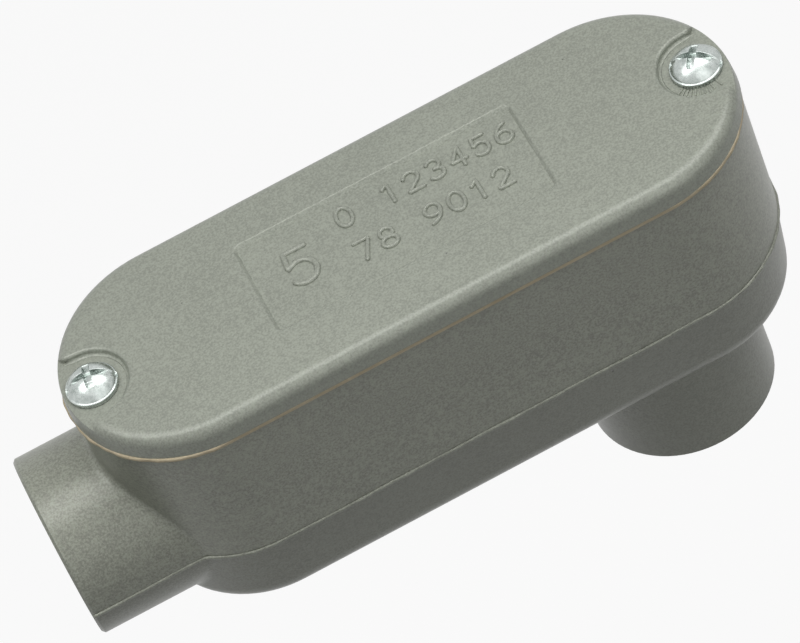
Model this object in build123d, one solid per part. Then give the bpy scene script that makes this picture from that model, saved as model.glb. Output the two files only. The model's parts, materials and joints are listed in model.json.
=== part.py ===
from build123d import *
import os
from math import radians, sqrt, tan

# Conduit body of the LB pattern: a cast aluminium elbow box for half-inch conduit.
# Millimetres. Origin: centre of the back hub's mouth. +Z runs up through the back hub to the cover,
# +X runs from the axial hub to the closed end, and Y is the width.

# Cover, gasket and body outline
cover_length = 100.4
cover_width = 35.6
cover_thickness = 3.4
cover_draft = 6.0
cover_edge_radius = 1.8
gasket_thickness = 0.7
gasket_inset = 0.1
body_inset = 0.25
body_draft = 1.0
parting_depth = 23.0
parting_step = 0.15
lower_draft = 5.5
back_edge_radius = 3.9
back_relief = 0.2

# Hubs, their threads and their smooth throats
hub_diameter = 27.0
hub_axis_depth = 22.3
axial_hub_reach = 10.2
back_hub_reach = 17.4
back_hub_setback = 22.2
hub_mouth_bevel = 0.4
axial_root_radius = 1.4
lower_root_radius = 1.0
back_root_radius = 0.8
thread_diameter = 21.4
thread_depth = 14.5
throat_diameter = 15.4
throat_round = 1.2
bulkhead_thickness = 3.2

# Wireway
wall_thickness = 2.6
floor_thickness = 2.8
cavity_draft = 0.8
cavity_floor_radius = 2.4
end_pocket_depth = 6.4

# Cover screws, their bosses and holes
screw_setback = 4.5
shank_diameter = 3.5
shank_reach = 7.2
point_length = 0.6
shank_clearance = 0.05
tap_depth = 8.2
cover_hole_diameter = 4.2
gasket_hole_diameter = 4.6
boss_radius = 3.6
boss_depth = 9.6
head_diameter = 7.4
head_height = 2.95
head_rim = 0.3
recess_width = 0.9
recess_depth = 1.3
cross_length = 4.2

# Cover face
pad_thickness = 2.4
notch_setback = 3.9
notch_radius = 5.85
notch_edge_radius = 0.5
notch_corner_radius = 1.4
panel_length = 42.3
panel_width = 17.6
panel_depth = 0.5
panel_corner_radius = 1.2
panel_shift_x = 0.45
panel_shift_y = 0.9
panel_draft = 45.0
panel_edge_radius = 0.35
core_margin = 1.0

# Levels and places that follow from the sizes above
hub_radius = hub_diameter / 2
back_z = back_hub_reach
axis_z = back_z + back_relief + hub_radius
body_top_z = axis_z + hub_axis_depth
parting_z = body_top_z - parting_depth
cavity_floor_z = back_z + floor_thickness
cover_bottom_z = body_top_z + gasket_thickness
cover_top_z = cover_bottom_z + cover_thickness
pad_z = cover_bottom_z + pad_thickness
pad_rise = cover_thickness - pad_thickness
centre_x = back_hub_setback - cover_length / 2
near_end_x = centre_x - cover_length / 2
axial_mouth_x = near_end_x - axial_hub_reach
axial_shoulder_x = axial_mouth_x + thread_depth
bulkhead_x = axial_shoulder_x + bulkhead_thickness
screw_spacing = cover_length - 2 * screw_setback
screw_xs = [centre_x - screw_spacing / 2, centre_x + screw_spacing / 2]
notch_xs = [near_end_x + notch_setback, back_hub_setback - notch_setback]

body_length = cover_length - 2 * body_inset
body_width = cover_width - 2 * body_inset
window_length = body_length - 2 * wall_thickness
window_width = body_width - 2 * wall_thickness
lower_shrink = 2 * (parting_depth * tan(radians(body_draft)) + parting_step)

# How close counts as touching when edges are picked, and how far cutting tools run past a face
touch = 0.01
overrun = 1.0


def stadium(length, width, z, down=False):
    """A full-radius slot outline at height z, facing up, or down for a mould half that opens down."""
    direction = (0, 0, -1) if down else (0, 0, 1)
    plane = Plane(origin=(centre_x, 0, z), x_dir=(1, 0, 0), z_dir=direction)
    return plane * SlotOverall(length, width)


def post(x, y, z_low, z_high, radius):
    """A vertical cylinder between two heights."""
    return Pos(x, y, (z_low + z_high) / 2) * Cylinder(radius, z_high - z_low)


def rod(x_low, x_high, z, radius):
    """A cylinder along X between two stations."""
    return Pos((x_low + x_high) / 2, 0, z) * Rot(0, 90, 0) * Cylinder(radius, x_high - x_low)


def slab(x_low, x_high, y_low, y_high, z_low, z_high):
    """A box between two corners."""
    middle = Pos((x_low + x_high) / 2, (y_low + y_high) / 2, (z_low + z_high) / 2)
    return middle * Box(x_high - x_low, y_high - y_low, z_high - z_low)


def between(shape, x_low, x_high, z_low, z_high):
    """The edges of a shape whose middles lie inside a window in X and Z."""
    found = []
    for edge in shape.edges():
        middle = edge.position_at(0.5)
        if x_low < middle.X < x_high and z_low < middle.Z < z_high:
            found.append(edge)
    return found


def level(shape, z):
    """The edges of a shape that lie flat at height z."""
    found = []
    for edge in shape.edges():
        if all(abs(edge.position_at(t).Z - z) < touch for t in (0, 0.5, 1)):
            found.append(edge)
    return found


def hub_root(shape):
    """The edges where the back hub leaves the casting: all on its wall, and clear of its mouth."""
    found = []
    for edge in shape.edges():
        points = [edge.position_at(t) for t in (0, 0.25, 0.5, 0.75, 1)]
        on_wall = all(abs(sqrt(p.X ** 2 + p.Y ** 2) - hub_radius) < touch for p in points)
        if on_wall and min(p.Z for p in points) > back_z / 2:
            found.append(edge)
    return found


def throat_rims(shape):
    """The round edges at both ends of both throats."""
    found = []
    for edge in shape.edges().filter_by(GeomType.CIRCLE):
        place = edge.arc_center
        on_hub_axis = abs(place.Z - axis_z) < touch or abs(place.X) < touch
        if on_hub_axis and abs(place.Y) < touch and abs(edge.radius - throat_diameter / 2) < touch:
            found.append(edge)
    return found


def axial_hub(radius):
    """The hub that leaves the end of the body along X, with its mouth's outer edge bevelled."""
    hub = rod(axial_mouth_x, bulkhead_x, axis_z, radius)
    return chamfer(hub.edges().sort_by(Axis.X)[:1], hub_mouth_bevel)


def upper_half():
    """The casting above the parting plane: drafted walls, and the top of the axial hub blended in."""
    walls = extrude(stadium(body_length, body_width, body_top_z, True), parting_depth, taper=body_draft)
    hub = axial_hub(hub_radius)
    hub -= slab(axial_mouth_x, bulkhead_x, -hub_radius, hub_radius, back_z, parting_z)
    half = walls + hub
    low, high = parting_z + overrun, body_top_z - overrun
    joint = between(half, axial_mouth_x + overrun, bulkhead_x, low, high)
    return fillet(joint, axial_root_radius)


def lower_half():
    """The casting below the parting plane: a little smaller all round, tapering to a rounded back."""
    outline = stadium(body_length - lower_shrink, body_width - lower_shrink, parting_z, True)
    walls = extrude(outline, parting_z - back_z, taper=lower_draft)
    walls = fillet(level(walls, back_z), back_edge_radius)
    hub = axial_hub(hub_radius - parting_step)
    hub -= slab(axial_mouth_x, bulkhead_x, -hub_radius, hub_radius, parting_z, body_top_z)
    half = walls + hub
    low, high = back_z + back_relief / 2, parting_z - overrun
    joint = between(half, axial_mouth_x + overrun, bulkhead_x, low, high)
    half = fillet(joint, lower_root_radius)
    back_hub = post(0, 0, 0, parting_z, hub_radius)
    half += chamfer(level(back_hub, 0), hub_mouth_bevel)
    return fillet(hub_root(half), back_root_radius)


def boss(x, outward):
    """A round-nosed screw boss on an end wall, whose underside slopes back down to the wall."""
    nose = x - outward * boss_radius
    wall = x + outward * screw_setback
    low = body_top_z - boss_depth
    high = body_top_z + overrun
    foot = low - abs(wall - nose)
    side = Polyline((nose, high), (nose, low), (wall, foot), (wall, high), (nose, high))
    block = extrude(Plane.XZ * make_face(side), boss_radius, both=True)
    plan = post(x, 0, foot, high, boss_radius)
    plan += slab(min(x, wall), max(x, wall), -boss_radius, boss_radius, foot, high)
    return block & plan


def wireway():
    """The hollow inside: the main channel, and a shallow pocket over the axial hub."""
    outline = stadium(window_length, window_width, body_top_z, True)
    channel = extrude(outline, body_top_z - cavity_floor_z, taper=cavity_draft)
    channel = fillet(level(channel, cavity_floor_z), cavity_floor_radius)
    pocket_z = body_top_z - end_pocket_depth
    channel -= slab(near_end_x, bulkhead_x, -cover_width / 2, cover_width / 2, back_z, pocket_z)
    for x, outward in zip(screw_xs, (-1, 1)):
        channel -= boss(x, outward)
    return channel


def body_casting():
    """One casting: both halves, hollowed, with the threaded hubs, their throats and the tapped bosses."""
    shell = upper_half() + lower_half()
    shell -= wireway()
    shell -= rod(axial_mouth_x, axial_shoulder_x, axis_z, thread_diameter / 2)
    shell -= rod(axial_shoulder_x, bulkhead_x + overrun, axis_z, throat_diameter / 2)
    shell -= post(0, 0, 0, thread_depth, thread_diameter / 2)
    shell -= post(0, 0, thread_depth, cavity_floor_z + overrun, throat_diameter / 2)
    for x in screw_xs:
        shell -= post(x, 0, body_top_z - tap_depth, body_top_z, shank_diameter / 2 + shank_clearance)
    return fillet(throat_rims(shell), throat_round)


def gasket():
    """A flat fibre ring on the rim, with tabs over the screw bosses."""
    face = stadium(cover_length - 2 * gasket_inset, cover_width - 2 * gasket_inset, body_top_z)
    ring = extrude(face, gasket_thickness)
    opening = extrude(stadium(window_length, window_width, body_top_z), gasket_thickness)
    for x in screw_xs:
        opening -= post(x, 0, body_top_z, cover_bottom_z, boss_radius)
    ring -= opening
    for x in screw_xs:
        ring -= post(x, 0, body_top_z, cover_bottom_z, gasket_hole_diameter / 2)
    return ring


def notch(x, outward):
    """The U-shaped step round a screw, open towards the cover's end, as a solid to cut away."""
    far = x + outward * cover_length
    cut = post(x, 0, pad_z, cover_top_z, notch_radius)
    return cut + slab(min(x, far), max(x, far), -notch_radius, notch_radius, pad_z, cover_top_z)


def notch_corners(lid):
    """The upright edges where a notch's walls meet the cover's rounded ends."""
    found = []
    for edge in lid.edges():
        low, high = edge.position_at(0), edge.position_at(1)
        sideways = abs(low.X - high.X) + abs(low.Y - high.Y)
        upright = sideways < abs(low.Z - high.Z) / 2
        past_screw = abs(low.X - centre_x) > screw_spacing / 2 + notch_corner_radius
        if upright and past_screw and min(low.Z, high.Z) > pad_z - touch:
            found.append(edge)
    return found


def panel_rim(lid):
    """The edges round the top of the shallow panel."""
    found = []
    for edge in level(lid, cover_top_z):
        points = [edge.position_at(t) for t in (0, 0.5, 1)]
        along = max(abs(p.X - centre_x - panel_shift_x) for p in points)
        across = max(abs(p.Y - panel_shift_y) for p in points)
        if along < panel_length / 2 + touch and across < panel_width / 2 + touch:
            found.append(edge)
    return found


def cover_core():
    """The shallow hollow under the cover's raised face, which leaves the pads and the rim solid."""
    inset = wall_thickness + body_inset + core_margin
    core = extrude(stadium(cover_length - 2 * inset, cover_width - 2 * inset, cover_bottom_z), pad_rise)
    for x in notch_xs:
        core -= post(x, 0, cover_bottom_z, cover_top_z, notch_radius + pad_thickness)
    return core


def cover():
    """A cast lid with a rounded rim, a recessed panel, and a step down to a pad at each screw."""
    lid = extrude(stadium(cover_length, cover_width, cover_bottom_z), cover_thickness, taper=cover_draft)
    rounded = fillet(level(lid, cover_top_z), cover_edge_radius)
    for x, outward in zip(notch_xs, (-1, 1)):
        lid -= notch(x, outward)
    lid = fillet(notch_corners(lid), notch_corner_radius)
    lid = fillet(level(lid, cover_top_z), notch_edge_radius)
    lid = lid & rounded
    corner = (centre_x + panel_shift_x, panel_shift_y, cover_top_z)
    face = Plane(origin=corner, x_dir=(1, 0, 0), z_dir=(0, 0, -1))
    panel = face * RectangleRounded(panel_length, panel_width, panel_corner_radius)
    lid -= extrude(panel, panel_depth, taper=panel_draft)
    lid = fillet(panel_rim(lid), panel_edge_radius)
    lid -= cover_core()
    for x in screw_xs:
        lid -= post(x, 0, cover_bottom_z, pad_z, cover_hole_diameter / 2)
    return lid


def cover_screw(x):
    """A round-head machine screw with a slot and a cross, and a plain shank with a bevelled point."""
    top_z = pad_z + head_height
    tip_z = body_top_z - shank_reach
    crown_height = head_height - head_rim
    crown_radius = ((head_diameter / 2) ** 2 + crown_height ** 2) / (2 * crown_height)
    head = post(x, 0, pad_z, top_z, head_diameter / 2)
    head &= Pos(x, 0, top_z - crown_radius) * Sphere(crown_radius)
    shank = post(x, 0, tip_z, pad_z, shank_diameter / 2)
    shank = chamfer(level(shank, tip_z), point_length)
    screw = head + shank
    floor_z = top_z - recess_depth
    half_head = head_diameter / 2
    half_slot = recess_width / 2
    half_cross = cross_length / 2
    screw -= slab(x - half_head, x + half_head, -half_slot, half_slot, floor_z, top_z)
    return screw - slab(x - half_slot, x + half_slot, -half_cross, half_cross, floor_z, top_z)


parts = {
    "body_casting": body_casting(),
    "gasket": gasket(),
    "cover": cover(),
    "hub_end_screw": cover_screw(screw_xs[0]),
    "far_end_screw": cover_screw(screw_xs[1]),
}

os.makedirs("parts", exist_ok=True)
for name, shape in parts.items():
    export_step(shape, f"parts/{name}.step")
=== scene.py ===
import json
from math import cos, pi, radians, sin, sqrt

import bpy
import numpy as np
from mathutils import Matrix, Vector


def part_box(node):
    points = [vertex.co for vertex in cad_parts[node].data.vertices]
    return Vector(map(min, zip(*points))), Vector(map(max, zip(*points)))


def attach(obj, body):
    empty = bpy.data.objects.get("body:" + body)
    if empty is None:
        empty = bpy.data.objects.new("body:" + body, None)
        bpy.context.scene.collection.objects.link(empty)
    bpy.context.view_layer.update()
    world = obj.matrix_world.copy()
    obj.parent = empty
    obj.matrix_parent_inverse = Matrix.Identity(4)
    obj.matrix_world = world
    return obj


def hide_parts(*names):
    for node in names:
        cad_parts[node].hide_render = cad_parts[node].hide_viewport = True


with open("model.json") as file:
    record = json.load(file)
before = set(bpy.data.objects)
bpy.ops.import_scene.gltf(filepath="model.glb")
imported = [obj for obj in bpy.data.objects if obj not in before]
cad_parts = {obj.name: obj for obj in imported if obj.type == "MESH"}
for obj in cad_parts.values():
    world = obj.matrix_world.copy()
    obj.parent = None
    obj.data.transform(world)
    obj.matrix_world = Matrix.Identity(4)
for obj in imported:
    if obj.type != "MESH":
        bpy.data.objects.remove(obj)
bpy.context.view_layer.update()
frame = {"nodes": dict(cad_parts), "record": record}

mm = 0.001


# The casting: one piece of aluminium, shell moulded in an upper and a lower half.
# Its skin is satin grey with a fine sand grain, a little cloudy from the mould wash,
# and it keeps a few pits where gas or sand was trapped.
# Painted shade is mixed into its colour: more dark specks by the hub roots and the near end, a darker lower half,
# and dark pits.

class Value:
    """A socket of a material. Sums and products of values add the Math nodes they need."""

    def __init__(self, tree, socket):
        self.tree = tree
        self.socket = socket

    def node(self, kind, settings, inputs, output=0):
        """Adds a node: first its settings, then a value or a link for each of its sockets."""
        made = self.tree.nodes.new(kind)
        for name, setting in settings.items():
            setattr(made, name, setting)
        for name, given in inputs.items():
            if isinstance(given, Value):
                self.tree.links.new(given.socket, made.inputs[name])
            else:
                made.inputs[name].default_value = given
        return Value(self.tree, made.outputs[output])

    def math(self, operation, first, second=0.0, clamp=False):
        settings = {"operation": operation, "use_clamp": clamp}
        return self.node("ShaderNodeMath", settings, {0: first, 1: second})

    def __add__(self, other):
        return self.math("ADD", self, other)

    def __sub__(self, other):
        return self.math("SUBTRACT", self, other)

    def __rsub__(self, other):
        return self.math("SUBTRACT", other, self)

    def __mul__(self, other):
        return self.math("MULTIPLY", self, other)

    def __truediv__(self, other):
        return self.math("DIVIDE", self, other)

    __radd__ = __add__
    __rmul__ = __mul__

    def ramp(self, low, high):
        """0 below low, 1 above high and straight between, also falling where low is the larger."""
        return self.math("DIVIDE", self - low, high - low, clamp=True)

    def noise(self, per_mm, detail=2.0, rough=0.5):
        """Cloud noise over this vector, which is in millimetres, with per_mm lumps to a millimetre."""
        inputs = {"Vector": self, "Scale": per_mm, "Detail": detail, "Roughness": rough}
        return self.node("ShaderNodeTexNoise", {}, inputs)

    def distance(self, point):
        """How far this vector is from a point."""
        return self.node("ShaderNodeVectorMath", {"operation": "DISTANCE"}, {0: self, 1: point}, "Value")

    def mixed(self, first, second):
        """A colour that goes from the first to the second as this value goes from 0 to 1."""
        made = self.tree.nodes.new("ShaderNodeMix")
        made.data_type = "RGBA"
        self.tree.links.new(self.socket, made.inputs["Factor"])
        for name, given in (("A", first), ("B", second)):
            socket = next(s for s in made.inputs if s.name == name and s.type == "RGBA")
            if isinstance(given, Value):
                self.tree.links.new(given.socket, socket)
            else:
                socket.default_value = (*given, 1.0)
        return Value(self.tree, next(s for s in made.outputs if s.type == "RGBA"))


def new_finish(name):
    """An empty material, its shader, and the place on the object in millimetres."""
    material = bpy.data.materials.new(name)
    material.use_nodes = True
    tree = material.node_tree
    shader = tree.nodes["Principled BSDF"]
    start = Value(tree, shader.outputs[0])
    place = start.node("ShaderNodeTexCoord", {}, {}, "Object")
    scaled = {"operation": "SCALE"}
    return material, shader, place.node("ShaderNodeVectorMath", scaled, {0: place, "Scale": 1 / mm})


def feed(shader, **sockets):
    """Links a value to each named socket of a shader, or sets it where it is a plain number."""
    for name, given in sockets.items():
        socket = shader.inputs[name.replace("_", " ")]
        if isinstance(given, Value):
            given.tree.links.new(given.socket, socket)
        else:
            socket.default_value = given


def pits(place, spots):
    """1 inside each small round spot, given as its middle and radius in millimetres, and 0 elsewhere."""
    found = None
    for middle, radius in spots:
        spot = place.distance(middle).ramp(radius, 0.4 * radius)
        found = spot if found is None else found.math("MAXIMUM", found, spot)
    return found


def cast_finish(name, light, dark, spots=(), shade_places=(), crown=None, lower=None):
    """Satin cast aluminium: sand grain, cloudy patches and a few pits, darkened with painted shade, all in the
    metal's skin.
    Places given by a middle and a reach carry more dark specks, painted shade by the hub roots and on the near end
    wall. A crown, given as a width and a rise in millimetres, falls off with the square of the way across, in the
    shading alone.
    Below the given height the skin is painted darker, a painted shade over the casting's lower half. Below the
    height lower the skin is darker, as the real piece looks; why it does isn't known."""
    material, shader, place = new_finish(name)
    clouds = place.noise(0.11, 3.0, 0.55)
    mottle = place.noise(0.8, 3.0, 0.6)
    grain = place.noise(3.1, 2.0, 0.7)
    peel = place.noise(0.5, 1.0)
    tone = 0.12 * clouds + 0.20 * mottle + 0.68 * grain
    colour = tone.ramp(0.40, 0.60).mixed(dark, light)
    height = 0.6 * grain + 0.35 * mottle + 0.5 * peel
    specks = place.noise(1.9, 2.0, 0.7)
    specks_and_shade = specks.ramp(0.70, 0.78)
    # Painted shade: near each given place, more of the specks turn dark.
    for spot, reach in shade_places:
        near = place.distance(spot).ramp(reach, 0.25 * reach)
        specks_and_shade = specks_and_shade.math("MAXIMUM", specks_and_shade, near * specks.ramp(0.50, 0.66))
    colour = (0.42 * specks_and_shade).mixed(colour, speck_and_shade_colour)
    # Painted shade: below the given height the colour goes toward the dark speck colour.
    if lower:
        level = place.node("ShaderNodeSeparateXYZ", {}, {0: place}, "Z") + 0.3 * mottle
        colour = (shade_below_share * level.ramp(lower + 0.35, lower + 0.05)).mixed(colour, speck_and_shade_colour)
    height = height - 0.4 * specks_and_shade
    # The pits are sunk by bump, and their dark colour is painted shade in the hollows.
    if spots:
        hole = pits(place, spots)
        colour = (0.75 * hole).mixed(colour, pit_shade_colour)
        height = height - 1.6 * hole
    roughness = casting_roughness + 0.10 * (clouds * 0.5 + grain * 0.5)
    bump = {"Height": height, "Strength": 0.7, "Distance": 0.06 * mm}
    normal = height.node("ShaderNodeBump", {}, bump)
    if crown:
        width, rise = crown
        across = place.node("ShaderNodeSeparateXYZ", {}, {0: place}, "Y") / (width / 2)
        belly = {"Height": -1 * rise * mm * across * across, "Strength": 1.0, "Distance": 1.0, "Normal": normal}
        normal = normal.node("ShaderNodeBump", {}, belly)
    feed(shader, Base_Color=colour, Roughness=roughness, Metallic=casting_metallic, Normal=normal)
    return material


def dress(node, material):
    """Gives a carried-over solid its finish."""
    mesh = frame["nodes"][node].data
    mesh.materials.clear()
    mesh.materials.append(material)


# The metallic share is far below bare aluminium's, which came out too flat in pale surroundings.
casting_roughness = 0.29
casting_metallic = 0.08
# The colour of the dark specks, and of the painted shade mixed in with them.
speck_and_shade_colour = (0.10, 0.105, 0.09)
# The pits' colour: painted shade in their hollows.
pit_shade_colour = (0.05, 0.052, 0.045)
casting_light = (0.367, 0.386, 0.320)
casting_dark = (0.234, 0.244, 0.202)
# How far the painted shade darkens the casting below its parting line.
shade_below_share = 0.42
casting_pits = [((-10.6, -16.9, 29.0), 0.28), ((-41.0, -16.95, 33.9), 0.16), ((9.5, -13.3, 46.4), 0.14)]
# Places of painted shade at the hub roots and on the near end wall, each a middle and a reach in millimetres.
casting_shade_places = [((-74.0, -14.0, 47.0), 12.0), ((-66.0, -17.5, 42.0), 9.0), ((-9.5, -9.5, 13.0), 8.0)]
casting_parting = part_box("body_casting")[1].z / mm - 23.0
casting_finish = cast_finish("satin_casting", casting_light, casting_dark, casting_pits, casting_shade_places,
                             lower=casting_parting)
dress("body_casting", casting_finish)


# The parting flash: a thin bead of metal that squeezed out between the two mould halves.
# It runs round the casting at the parting plane, from one side of the end hub's mouth to the
# other, and was only roughly cleaned off, so its height wavers.

def closed_surface(points, ring=False):
    """Vertices and faces of a grid whose columns run round the piece. The last row joins the first where
    the piece is a ring, and otherwise each end closes in a fan. The volume is the sum over the faces of
    a x b . c + a x c . d, and where it comes out below zero the faces are turned to look outward."""
    rows, columns, _ = points.shape
    index = np.arange(rows * columns).reshape(rows, columns)
    if ring:
        index = np.vstack([index, index[:1]])
    here, there = index[:-1], index[1:]
    beside, across = np.roll(here, -1, axis=1), np.roll(there, -1, axis=1)
    quads = np.stack([here, beside, across, there], axis=-1).reshape(-1, 4)
    vertices = points.reshape(-1, 3)
    a, b, c, d = np.moveaxis((vertices - vertices.mean(axis=0))[quads], 1, 0)
    volume = np.sum(np.cross(a, b) * c + np.cross(a, c) * d)
    faces = quads.tolist()
    if not ring:
        ends = np.array([points[0].mean(axis=0), points[-1].mean(axis=0)])
        vertices = np.vstack([vertices, ends])
        first, last = index[0], index[-1]
        near, far = rows * columns, rows * columns + 1
        faces += np.stack([np.roll(first, -1), first, np.full(columns, near)], axis=-1).tolist()
        faces += np.stack([last, np.roll(last, -1), np.full(columns, far)], axis=-1).tolist()
    if volume < 0:
        faces = [face[::-1] for face in faces]
    return vertices, faces


def piece(name, surfaces, material, body):
    """One smooth piece made of closed surfaces in metres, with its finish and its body."""
    vertices, faces = [], []
    for points, corners in surfaces:
        start = sum(len(done) for done in vertices)
        vertices.append(points)
        faces += [[start + corner for corner in face] for face in corners]
    mesh = bpy.data.meshes.new(name)
    mesh.from_pydata(np.vstack(vertices).tolist(), [], faces)
    mesh.polygons.foreach_set("use_smooth", np.ones(len(mesh.polygons), dtype=bool))
    mesh.materials.append(material)
    mesh.update()
    made = bpy.data.objects.new(name, mesh)
    bpy.context.scene.collection.objects.link(made)
    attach(made, body)
    return made


def evenly(path, step):
    """The same path with its points spaced evenly, about a step apart."""
    lengths = np.concatenate([[0], np.cumsum(np.linalg.norm(np.diff(path, axis=0), axis=1))])
    stations = np.linspace(0, lengths[-1], max(3, int(round(lengths[-1] / step)) + 1))
    return np.stack([np.interp(stations, lengths, path[:, axis]) for axis in range(3)], axis=1)


def stroke(path, half_width, height, up, around=12, nose=5):
    """A soft raised stroke: an ellipse square to the path, half_width to each side and height along up,
    that shrinks by the cosine of an angle while it runs on by the sine, which rounds off both ends."""
    way = np.gradient(path, axis=0)
    way /= np.linalg.norm(way, axis=1, keepdims=True)
    turn = np.linspace(0, pi / 2, nose + 1)[1:] * 0.97
    reach = half_width if np.isscalar(half_width) else half_width[0]
    before = path[0] - np.outer(np.sin(turn[::-1]), way[0]) * reach
    after = path[-1] + np.outer(np.sin(turn), way[-1]) * reach
    middle = np.vstack([before, path, after])
    way = np.vstack([np.repeat(way[:1], nose, 0), way, np.repeat(way[-1:], nose, 0)])
    size = np.concatenate([np.cos(turn[::-1]), np.ones(len(path)), np.cos(turn)])
    tall = np.interp(np.arange(len(middle)), np.arange(nose, nose + len(path)), np.broadcast_to(height, len(path)))
    up = np.broadcast_to(up, middle.shape)
    side = np.cross(up, way)
    side /= np.linalg.norm(side, axis=1, keepdims=True)
    angle = np.linspace(0, 2 * pi, around, endpoint=False)
    across = (size * reach)[:, None, None] * np.cos(angle)[None, :, None] * side[:, None, :]
    rise = (size * tall)[:, None, None] * np.sin(angle)[None, :, None] * up[:, None, :]
    return closed_surface((middle[:, None, :] + across + rise)[:, ::-1])


mounts = {mount["name"]: mount for mount in frame["record"]["mounts"]}
hub_mouth = Vector(mounts["axial_hub"]["pos_m"])
bore_radius = mounts["axial_hub"]["dims"]["r_mm"] * mm
bore_depth = mounts["axial_hub"]["dims"]["length_mm"] * mm
body_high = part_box("body_casting")[1]
hub_radius = 13.5 * mm
parting_z = body_high.z - 23.0 * mm
parting_half_width = 17.15 * mm
parting_half_length = 49.55 * mm
centre_x = (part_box("cover")[0].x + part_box("cover")[1].x) / 2
hub_root_radius = 1.4 * mm
flash_half_width = 0.30 * mm
flash_height = 0.30 * mm
flash_waver = 0.10 * mm
flash_step = 0.6 * mm


def arc(middle, radius, start, end):
    """Points on a circle from a start angle to an end angle, in the plane of X and Y."""
    angle = np.linspace(start, end, 40)
    return np.stack([middle[0] + radius * np.cos(angle), middle[1] + radius * np.sin(angle)], axis=1)


def parting_path():
    """Half of the casting's outline at the parting plane: along the hub, round its root's fillet,
    round the near end, along the side and round the far end to its tip."""
    hub_side = sqrt(hub_radius ** 2 - (hub_mouth.z - parting_z) ** 2)
    end_x = centre_x - parting_half_length + parting_half_width
    far_x = centre_x + parting_half_length - parting_half_width
    fillet_y = -hub_side - hub_root_radius
    fillet_x = end_x - sqrt((parting_half_width + hub_root_radius) ** 2 - fillet_y ** 2)
    towards = np.arctan2(-fillet_y, end_x - fillet_x)
    mouth = np.array([[hub_mouth.x + 0.4 * mm, -hub_side]])
    root = arc((fillet_x, fillet_y), hub_root_radius, pi / 2, towards)
    near_end = arc((end_x, 0), parting_half_width, towards - pi, -pi / 2)
    far_end = arc((far_x, 0), parting_half_width, -pi / 2, 0)
    outline = np.vstack([mouth, root, near_end, far_end])
    return np.column_stack([outline, np.full(len(outline), parting_z)])


def parting_flash():
    """The bead along the whole parting line. Its height is a mean plus three sines of its length that
    don't repeat together, and it wanders a little up and down the wall in the same way."""
    half = evenly(parting_path(), flash_step)
    whole = np.vstack([half, half[-2::-1] * [1, -1, 1]])
    station = np.arange(len(whole)) * flash_step / mm
    waver = np.sin(0.83 * station) + np.sin(0.31 * station + 1.3) + np.sin(1.9 * station + 0.4)
    drift = np.sin(0.13 * station + 0.5) + np.sin(0.41 * station + 2.2)
    whole[:, 2] += 0.05 * mm * drift
    way = np.gradient(whole, axis=0)
    outward = np.cross(way, [0, 0, 1])
    outward /= np.linalg.norm(outward, axis=1, keepdims=True)
    whole -= outward * 0.05 * mm
    outward = np.vstack([np.repeat(outward[:1], 5, 0), outward, np.repeat(outward[-1:], 5, 0)])
    return stroke(whole, flash_half_width, flash_height + flash_waver * waver / 3, outward)


piece("parting_flash", [parting_flash()], casting_finish, "housing")


# The hub threads: half-inch taper pipe thread, 14 turns to the inch, cut with a tap after casting,
# so the metal is bright. The tap's lead leaves the last turns shallow above the shoulder, and the
# mouth has a small countersink.

pipe_pitch = 25.4 / 14 * mm
pipe_thread_height = 1.3 * mm
pipe_taper = 1 / 32
lining_gap = 0.03 * mm


def machined_finish(name, colour):
    """Bright cut aluminium with fine rings left by the tool, along the object's own axes."""
    material, shader, place = new_finish(name)
    rings = place.noise(4.0, 2.0, 0.6)
    clouds = place.noise(0.3, 2.0)
    shade = (0.5 * rings + 0.5 * clouds).ramp(0.3, 0.7)
    dull = tuple(0.8 * part for part in colour)
    bump = {"Height": rings, "Strength": 0.25, "Distance": 0.02 * mm}
    feed(shader, Base_Color=shade.mixed(dull, colour), Roughness=0.26 + 0.14 * clouds, Metallic=0.9,
         Normal=rings.node("ShaderNodeBump", {}, bump))
    return material


cut_aluminium = machined_finish("cut_aluminium", (0.52, 0.53, 0.51))


def thread_lining(radius, depth, pitch, height, taper, lead, turns_around=120, rows_a_turn=14):
    """A threaded sleeve just inside a plain hole, as radius against angle and depth.
    The groove's share of a turn is the depth over the pitch less the angle over a full turn; a
    triangle wave of it, with flats at crest and root, is added to the crests' radius."""
    rows = int(depth / pitch * rows_a_turn) + 2
    down = np.linspace(0, depth, rows)[:, None]
    angle = np.linspace(0, 2 * pi, turns_around, endpoint=False)[None, :]
    share = (down / pitch - angle / (2 * pi)) % 1.0
    groove = np.clip(1.3 * (1 - abs(2 * share - 1)) - 0.15, 0, 1)
    crest = radius - height - taper * down
    fading = np.clip((depth - down) / lead, 0, 1)
    wall = crest + height * groove * fading
    wall = np.maximum(wall, radius - down * 1.0)
    wall = np.minimum(wall, radius - lining_gap)
    back = np.full((2, turns_around), radius + lining_gap)
    along = np.concatenate([np.broadcast_to(down, wall.shape), [[depth] * turns_around, [0] * turns_around]])
    around = np.broadcast_to(angle, along.shape)
    reach = np.concatenate([wall, back])
    return np.stack([reach * np.cos(around), reach * np.sin(around), along], axis=-1)[:, ::-1]


def hub_thread(name, mouth, inward):
    """The pipe thread of one hub, from its mouth inwards."""
    sleeve = thread_lining(bore_radius, bore_depth - lining_gap, pipe_pitch, pipe_thread_height,
                           pipe_taper, 2.5 * pipe_pitch)
    turn = Vector((0, 0, 1)).rotation_difference(Vector(inward)).to_matrix()
    placed = sleeve @ np.array(turn).T + np.array(mouth) + np.array(inward) * lining_gap / 2
    return piece(name, [closed_surface(placed, ring=True)], cut_aluminium, "housing")


hub_thread("axial_hub_thread", hub_mouth, (1, 0, 0))
hub_thread("back_hub_thread", Vector(mounts["back_hub"]["pos_m"]), (0, 0, 1))


# The gasket: a ring punched out of vegetable fibre sheet, oiled tan, squeezed under the cover.
# Its cut edge shows the layers of fibre and is a little ragged.

gasket_light = (0.76, 0.67, 0.49)
gasket_dark = (0.56, 0.47, 0.31)


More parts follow.
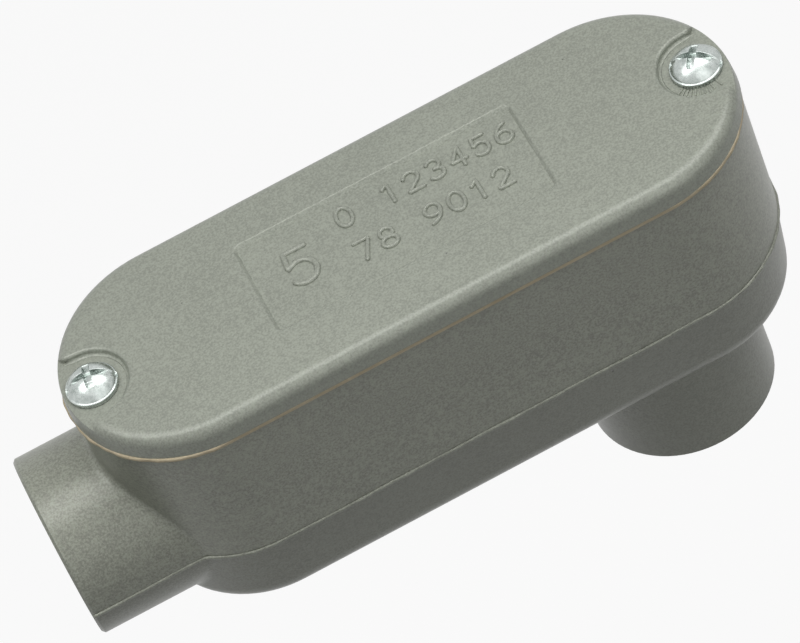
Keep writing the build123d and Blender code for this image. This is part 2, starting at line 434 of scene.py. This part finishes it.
def fibre_finish(name):
    """Pressed fibre: fine streaks in all directions, flat to the sheet, darker between the fibres."""
    material, shader, place = new_finish(name)
    squashed = {0: place, 1: (1.0, 1.0, 5.0)}
    layers = place.node("ShaderNodeVectorMath", {"operation": "MULTIPLY"}, squashed)
    strands = layers.noise(2.4, 4.0, 0.65)
    patches = place.noise(0.25, 2.0)
    shade = (0.6 * strands + 0.4 * patches).ramp(0.35, 0.65)
    bump = {"Height": strands, "Strength": 0.5, "Distance": 0.06 * mm}
    feed(shader, Base_Color=shade.mixed(gasket_dark, gasket_light), Roughness=0.82 + 0.1 * strands,
         Normal=strands.node("ShaderNodeBump", {}, bump))
    return material


gasket_fibre = fibre_finish("gasket_fibre")
dress("gasket", gasket_fibre)


# The gasket's squeezed edge: under the cover's clamping the fibre bulges out beyond the rim, most at
# the round ends beside the screws, and least along the middle of the sides, where it stays behind it.

lip_low, lip_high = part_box("gasket")
lip_step = 0.5 * mm
lip_bulges = [(-78.1, 0.28), (-72.0, 0.40), (-64.0, 0.30), (-60.4, 0.12), (-45.0, 0.08), (-20.0, 0.06), (0.0, 0.08),
              (8.0, 0.14), (16.0, 0.24), (20.5, 0.10), (22.1, 0.0)]


def rim(inset, step):
    """Points round the rim's outline, a slot with round ends, moved in by an inset, with outward ways."""
    radius = (lip_high.y - lip_low.y) / 2 - inset
    reach = (lip_high.x - lip_low.x) / 2 - inset - radius
    total = 4 * reach + 2 * pi * radius
    count = int(total / step)
    run = np.arange(count) * total / count
    turn = pi * radius
    along, past = run % (2 * reach + turn), run // (2 * reach + turn)
    straight = np.minimum(along, 2 * reach)
    bend = np.maximum(along - 2 * reach, 0) / radius
    x = -reach + straight + radius * np.sin(bend)
    y = -radius * np.cos(bend)
    way = np.stack([np.where(bend > 0, np.sin(bend), 0), -np.cos(bend)], axis=1)
    sign = np.where(past > 0, -1.0, 1.0)[:, None]
    outline = np.stack([x, y], axis=1) * sign + [(lip_low.x + lip_high.x) / 2, 0]
    return outline, way * sign


def gasket_lip():
    """A bead all round the gasket: at each place its section is a squashed half round, as thick as the
    sheet and as proud as the bulge there, which is read from the table by X and wavers by two sines."""
    outline, outward = rim(0.0, lip_step)
    x, bulge = np.array(lip_bulges).T
    station = np.arange(len(outline)) * lip_step / mm
    proud = np.interp(outline[:, 0] / mm, x, bulge) * mm
    proud = proud * (1 + 0.22 * np.sin(0.9 * station) + 0.15 * np.sin(2.3 * station + 1.0))
    proud = np.minimum(np.maximum(proud, 0.01 * mm), 0.40 * mm)
    room_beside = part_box("cover")[1].y - 0.01 * mm - abs(outline[:, 1])
    proud = np.minimum(proud, room_beside / np.maximum(abs(outward[:, 1]), 0.02))
    turn = np.linspace(-pi / 2, pi / 2, 11)
    out = np.concatenate([np.cos(turn) ** 0.6, [-2.0, -2.0]])
    thick = (lip_high.z - lip_low.z) / 2 - 0.01 * mm
    rise = np.concatenate([np.sin(turn), [1.0, -1.0]]) * thick + (lip_high.z + lip_low.z) / 2
    reach = np.where(out[None, :] > 0, out[None, :] * proud[:, None], out[None, :] * 0.2 * mm)
    plan = outline[:, None, :] + reach[:, :, None] * outward[:, None, :]
    level = np.broadcast_to(rise[:, None], reach.shape + (1,))
    return closed_surface(np.concatenate([plan, level], axis=2), ring=True)


piece("gasket_lip", [gasket_lip()], gasket_fibre, "housing")


# The cover: a flat aluminium casting with a rounded rim, stepped down at both ends for the screws.
# It has the body's grain and a slightly paler, smoother face.

cover_top_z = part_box("cover")[1].z
cover_light = (0.357, 0.380, 0.320)
cover_dark = (0.256, 0.272, 0.230)
cover_pits = [((-24.0, -9.4, cover_top_z / mm), 0.18), ((3.0, 12.0, cover_top_z / mm), 0.14),
              ((-58.0, 5.0, cover_top_z / mm), 0.12)]
cover_crown = (35.6, 0.8)
cover_finish = cast_finish("satin_cover", cover_light, cover_dark, cover_pits, crown=cover_crown)
dress("cover", cover_finish)


# The steps' fillets: where each step's wall meets its floor the casting has a small round, from the
# pattern, that dies out towards the cover's end. It is cast with the cover.

step_fillet = 0.5 * mm
step_radius = 5.85 * mm
step_setback = 3.9 * mm
step_floor_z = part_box("cover")[0].z + 2.4 * mm


def step_fillet_bead(tip_x, inward):
    """A bead in the corner between a step's floor and its wall, along the wall's U in plan. Its
    section is a square corner less a quarter round, and its size shrinks to nothing at both ends."""
    middle_x = tip_x + inward * step_setback
    half_turn = np.linspace(-pi / 2, pi / 2, 61)
    leg = np.linspace(0.45, 0.0, 9)[:-1] * step_setback
    before = np.stack([middle_x - inward * leg, np.full(len(leg), -step_radius)], axis=1)
    bend = np.stack([middle_x + inward * step_radius * np.cos(half_turn), step_radius * np.sin(half_turn)], axis=1)
    line = np.vstack([before, bend, before[::-1] * [1, -1]])
    round_way = np.stack([inward * np.cos(half_turn), np.sin(half_turn)], axis=1)
    outward = np.vstack([np.tile([0, -1], (len(leg), 1)), round_way, np.tile([0, 1], (len(leg), 1))])
    size = np.ones(len(line))
    size[:len(leg)] = np.linspace(0.05, 1, len(leg))
    size[-len(leg):] = np.linspace(1, 0.05, len(leg))
    turn = np.linspace(0, pi / 2, 9)
    inside = np.concatenate([1 - np.sin(turn), [-0.1, -0.1]])
    rise = np.concatenate([1 - np.cos(turn), [1.0, -0.1]])
    inside, rise = inside[::-1], rise[::-1]
    reach = step_fillet * size[:, None] * inside[None, :]
    level = step_floor_z + step_fillet * size[:, None] * rise[None, :]
    plan = line[:, None, :] - reach[:, :, None] * outward[:, None, :]
    points = np.concatenate([plan, level[:, :, None]], axis=2)
    return closed_surface(points if inward > 0 else points[:, ::-1])


cover_low, cover_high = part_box("cover")
piece("step_fillets", [step_fillet_bead(cover_low.x, 1), step_fillet_bead(cover_high.x, -1)], cover_finish,
      "cover")


# The numbers: plain raised figures in the cover's shallow panel, cast with it from strokes that
# were cut into the pattern with a round-nosed tool. They say nothing about make or model.

panel_floor_z = cover_top_z - 0.5 * mm
figure_height = 3.5 * mm
figure_pitch = 3.45 * mm
figure_half_stroke = 0.33 * mm
figure_rise = 0.40 * mm
figure_rows = [("0 123456", -6.4 * mm, 3.7 * mm, figure_height), ("78 9012", -6.1 * mm, -3.3 * mm, figure_height),
               ("5", -15.6 * mm, -1.9 * mm, 6.4 * mm)]

# Each figure is a few strokes in a cell 1 high and 0.62 wide. A stroke is a run of points (x, y) and
# of elliptical arcs (middle x, middle y, half width, half height, start degrees, end degrees).
figures = {
    "0": [[(0.31, 0.5, 0.31, 0.5, 90, 450)]],
    "1": [[(0.1, 0.8), (0.34, 1.0), (0.34, 0.0)]],
    "2": [[(0.31, 0.7, 0.3, 0.3, 165, -35), (0.0, 0.0), (0.62, 0.0)]],
    "3": [[(0.3, 0.75, 0.27, 0.25, 150, -90)], [(0.3, 0.26, 0.31, 0.26, 90, -150)]],
    "4": [[(0.62, 0.3), (0.0, 0.3), (0.45, 1.0), (0.45, 0.0)]],
    "5": [[(0.57, 1.0), (0.08, 1.0), (0.04, 0.55), (0.3, 0.33, 0.31, 0.33, 120, -145)]],
    "6": [[(0.62, 0.32, 0.62, 0.68, 100, 180)], [(0.31, 0.31, 0.31, 0.31, 180, 540)]],
    "7": [[(0.0, 1.0), (0.62, 1.0), (0.2, 0.0)]],
    "8": [[(0.31, 0.75, 0.26, 0.25, 90, 450)], [(0.31, 0.26, 0.31, 0.26, 90, 450)]],
    "9": [[(0.0, 0.68, 0.62, 0.68, -80, 0)], [(0.31, 0.69, 0.31, 0.31, 0, 360)]],
}


def drawn(run):
    """The points of one stroke, with each arc as a curve of small steps."""
    points = []
    for item in run:
        if len(item) == 2:
            points.append(np.array([item]))
        else:
            x, y, across, tall, start, end = item
            angle = np.radians(np.linspace(start, end, 33))
            points.append(np.stack([x + across * np.cos(angle), y + tall * np.sin(angle)], axis=1))
    return np.vstack(points)


def figure_strokes():
    """All strokes of all rows, laid on the panel's floor, each sunk by a little of its height."""
    made = []
    for text, left, base, height in figure_rows:
        for place, sign in enumerate(text):
            for run in figures.get(sign, []):
                flat = drawn(run) * height
                x = centre_x + left + place * figure_pitch + flat[:, 0]
                path = np.column_stack([x, base + flat[:, 1], np.full(len(flat), panel_floor_z)])
                scale = height / figure_height
                path = evenly(path, 0.16 * mm * sqrt(scale))
                made.append(stroke(path, figure_half_stroke * sqrt(scale), figure_rise, (0, 0, 1.0)))
    return made


piece("panel_numbers", figure_strokes(), cover_finish, "cover")


# The cover screws: round-head machine screws, 32 threads to the inch, cold headed with a slot and
# a cross in one recess, thread rolled, and plated with bright zinc. They ride in the cover.

screw_pitch = 25.4 / 32 * mm
screw_thread_height = 0.42 * mm
head_radius = 3.7 * mm
head_height = 2.95 * mm
head_rim = 0.3 * mm
slot_half = 0.42 * mm
cross_half = 0.45 * mm
cross_reach = 2.1 * mm
recess_depth = 1.25 * mm
shank_radius = 1.73 * mm


def zinc_finish(name):
    """Zinc plate, a dull mirror with faint waviness, and darker than true zinc, which would come out
    near white in pale surroundings."""
    material, shader, place = new_finish(name)
    waves = place.noise(0.9, 2.0)
    specks = place.noise(3.0, 2.0, 0.7)
    shade = (0.6 * waves + 0.4 * specks).ramp(0.32, 0.66)
    bump = {"Height": 0.8 * waves + 0.2 * specks, "Strength": 0.5, "Distance": 0.05 * mm}
    feed(shader, Base_Color=shade.mixed((0.34, 0.38, 0.36), (0.58, 0.62, 0.60)),
         Roughness=0.20 + 0.16 * specks, Metallic=1.0,
         Normal=waves.node("ShaderNodeBump", {}, bump))
    return material


zinc = zinc_finish("bright_zinc")


def smooth_step(value, low, high):
    """0 below low, 1 above high, and the cubic 3 t squared less 2 t cubed between."""
    share = np.clip((value - low) / (high - low), 0, 1)
    return share * share * (3 - 2 * share)


def screw_surface(top_z, tip_z, slot_angle):
    """A screw as radius and height against angle, row by row from the crown to the point.
    The crown is a sphere's cap; the recess lowers it where a point lies in the slot or in the
    cross, and the shank's radius follows the thread's triangle wave of height and angle."""
    angle = np.linspace(0, 2 * pi, 288, endpoint=False)[None, :]
    crown = head_height - head_rim
    ball = (head_radius ** 2 + crown ** 2) / (2 * crown)
    edge = 0.22 * mm
    reach = np.linspace(0.02, 1, 110)[:, None] * (head_radius - edge)
    drop = ball - np.sqrt(ball ** 2 - reach ** 2)
    across = reach * np.sin(angle - slot_angle)
    along = reach * np.cos(angle - slot_angle)
    soft = 0.10 * mm
    slot = 1 - smooth_step(abs(across), slot_half - soft, slot_half + soft)
    arm = 1 - smooth_step(abs(along), cross_half - soft, cross_half + soft)
    arm = arm * (1 - smooth_step(abs(across), cross_reach - 0.8 * mm, cross_reach))
    hollow = np.maximum(slot, arm) * np.clip(recess_depth - drop * slot, 0.35 * mm, None)
    height = top_z - drop - hollow
    turn = np.linspace(0, pi / 2, 7)[1:, None]
    rim_drop = ball - sqrt(ball ** 2 - (head_radius - edge) ** 2)
    rim_hollow = hollow[-1:]
    shoulder_r = head_radius - edge + edge * np.sin(turn) + 0 * angle
    shoulder_z = top_z - rim_drop - edge * (1 - np.cos(turn)) - rim_hollow * (1 - turn / (pi / 2))
    seat_z = top_z - head_height
    under_r = np.array([[head_radius], [head_radius - 0.1 * mm], [shank_radius + 0.2 * mm]]) + 0 * angle
    under_z = np.array([[seat_z + 0.1 * mm], [seat_z], [seat_z]]) + 0 * angle
    rows = int((seat_z - tip_z) / screw_pitch * 12)
    shank_z = np.linspace(seat_z - 0.05 * mm, tip_z, rows)[:, None] + 0 * angle
    share = (shank_z / screw_pitch - angle / (2 * pi)) % 1.0
    ridge = np.clip(1.25 * (1 - abs(2 * share - 1)) - 0.125, 0, 1)
    point = np.clip((shank_z - tip_z) / (0.6 * mm), 0, 1)
    plain = np.clip((seat_z - shank_z) / (0.8 * mm), 0, 1)
    shank_r = shank_radius - screw_thread_height * (1 - ridge * plain * point)
    radius = np.vstack([reach + 0 * angle, shoulder_r, under_r, shank_r])
    level = np.vstack([height, shoulder_z, under_z, shank_z])
    turned = np.broadcast_to(angle, radius.shape)
    return np.stack([radius * np.cos(turned), radius * np.sin(turned), level], axis=-1)


def plated_screw(node, slot_angle):
    """The detailed screw in a plain one's place, with its slot at an angle to the cover's length."""
    low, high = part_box(node)
    grid = screw_surface(high.z, low.z, slot_angle)
    grid[..., 0] += (low.x + high.x) / 2
    made = piece(node + "_plated", [closed_surface(grid[:, ::-1])], zinc, node)
    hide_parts(node)
    return made


plated_screw("hub_end_screw", radians(-10))
plated_screw("far_end_screw", radians(-34))


# The tool marks: short ridges that a worn cutter left beside the far screw, where the step's wall
# meets its floor on the near side.

far_low, far_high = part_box("far_end_screw")
far_x = (far_low.x + far_high.x) / 2
pad_z = far_high.z - head_height
mark_angles = [-145, -138, -131, -124, -116, -108, -100, -92, -84, -71]
mark_start = 3.9 * mm
mark_length = 1.2 * mm


def tool_marks():
    """One low stroke along each radius from the screw's axis, in the order of their angles."""
    made = []
    for number, angle in enumerate(mark_angles):
        way = np.array([cos(radians(angle)), sin(radians(angle)), 0])
        reach = np.linspace(mark_start, mark_start + mark_length * (0.8 + 0.2 * (number % 2)), 8)[:, None]
        path = np.array([far_x, 0, pad_z]) + reach * way
        made.append(stroke(path, 0.17 * mm, 0.30 * mm, (0, 0, 1.0), around=8, nose=3))
    return made


piece("tool_marks", tool_marks(), cover_finish, "cover")


# The studio: a pale floor well below the fitting, a wide soft lamp straight above it, and a larger
# one in front and above. The camera, and metal, see the floor and the room as white.

middle = Vector((centre_x, 0, 0.036))
floor_z = -0.11
room_level = 0.02
lamps = [("overhead", middle + Vector((0, -0.01, 0.24)), middle, (0.60, 0.13), 0.78),
         ("front", middle + Vector((0.15, -0.40, 0.30)), middle, (0.50, 0.50), 0.50)]


def seen_rays(tree):
    """1 for the rays with which the camera, metal and glass see a thing, and 0 for the light it gives."""
    path = tree.nodes.new("ShaderNodeLightPath")
    seen = Value(tree, path.outputs["Is Camera Ray"])
    for name in ("Is Glossy Ray", "Is Transmission Ray"):
        seen = seen.math("MAXIMUM", seen, Value(tree, path.outputs[name]))
    return seen


def white_where_seen(tree, surface, share):
    """Mixes white light into a surface for what the camera, metal and glass see of it."""
    seen = seen_rays(tree)
    white = seen.node("ShaderNodeEmission", {}, {"Color": (1, 1, 1, 1), "Strength": 1.0})
    return seen.node("ShaderNodeMixShader", {}, {0: seen * share, 1: surface, 2: white})


def pale_floor():
    """A wide flat floor, its finish plain pale paper."""
    half = 1.6
    corners = [(-half, -half, floor_z), (half, -half, floor_z), (half, half, floor_z), (-half, half, floor_z)]
    mesh = bpy.data.meshes.new("floor")
    mesh.from_pydata(corners, [], [(0, 1, 2, 3)])
    material, shader, place = new_finish("pale_paper")
    feed(shader, Base_Color=(0.62, 0.62, 0.61, 1), Roughness=0.9)
    tree = material.node_tree
    paper = Value(tree, shader.outputs[0])
    shown = white_where_seen(tree, paper, 0.93)
    tree.links.new(shown.socket, tree.nodes["Material Output"].inputs["Surface"])
    mesh.materials.append(material)
    floor = bpy.data.objects.new("floor", mesh)
    bpy.context.scene.collection.objects.link(floor)


def soft_lamp(name, place, aim, size, power, colour=(1, 1, 1)):
    """A rectangular lamp, wide along X, that faces a point."""
    light = bpy.data.lights.new(name, "AREA")
    light.shape = "RECTANGLE"
    light.size, light.size_y = size
    light.energy = power
    light.color = colour
    lamp = bpy.data.objects.new(name, light)
    lamp.location = place
    lamp.rotation_euler = (Vector(aim) - Vector(place)).to_track_quat("-Z", "Y").to_euler()
    bpy.context.scene.collection.objects.link(lamp)


def room():
    """The room: an even grey light from all around, which the camera, metal and glass see as white."""
    world = bpy.data.worlds.new("room")
    world.use_nodes = True
    bpy.context.scene.world = world
    shade = world.node_tree.nodes["Background"]
    shade.inputs["Color"].default_value = (1, 1, 1, 1)
    strength = room_level + (1 - room_level) * seen_rays(world.node_tree)
    world.node_tree.links.new(strength.socket, shade.inputs["Strength"])


pale_floor()
room()
for lamp in lamps:
    soft_lamp(*lamp)


# The view: the photograph was taken from above the near side with a long lens, and the picture
# was then turned so that the fitting's far end points up to the right.

view_elevation = radians(48.18)
view_yaw = radians(-3.81)
view_roll = radians(2.61)
picture_turn = radians(27.637)
view_distance = 0.7274
view_target = Vector((-0.03282, 0, 0.03929))
sensor = 36.0
picture_width = 800
focal_pixels = 5344.0


def photographer():
    """A camera that looks at the target from the elevation and yaw, rolled with the picture."""
    level_right = Vector((cos(view_yaw), sin(view_yaw), 0))
    level_ahead = Vector((-sin(view_yaw), cos(view_yaw), 0))
    back = Vector((0, 0, sin(view_elevation))) - level_ahead * cos(view_elevation)
    level_up = level_ahead * sin(view_elevation) + Vector((0, 0, cos(view_elevation)))
    turn = view_roll - picture_turn
    right = level_right * cos(turn) + level_up * sin(turn)
    up = level_up * cos(turn) - level_right * sin(turn)
    data = bpy.data.cameras.new("photographer")
    data.sensor_width = sensor
    data.lens = focal_pixels * sensor / picture_width
    data.clip_start = 0.01
    data.clip_end = 20
    camera = bpy.data.objects.new("photographer", data)
    axes = Matrix((right, up, back)).transposed()
    camera.matrix_world = Matrix.Translation(view_target + back * view_distance) @ axes.to_4x4()
    bpy.context.scene.collection.objects.link(camera)
    bpy.context.scene.camera = camera


photographer()
bpy.context.scene.view_settings.view_transform = "Standard"
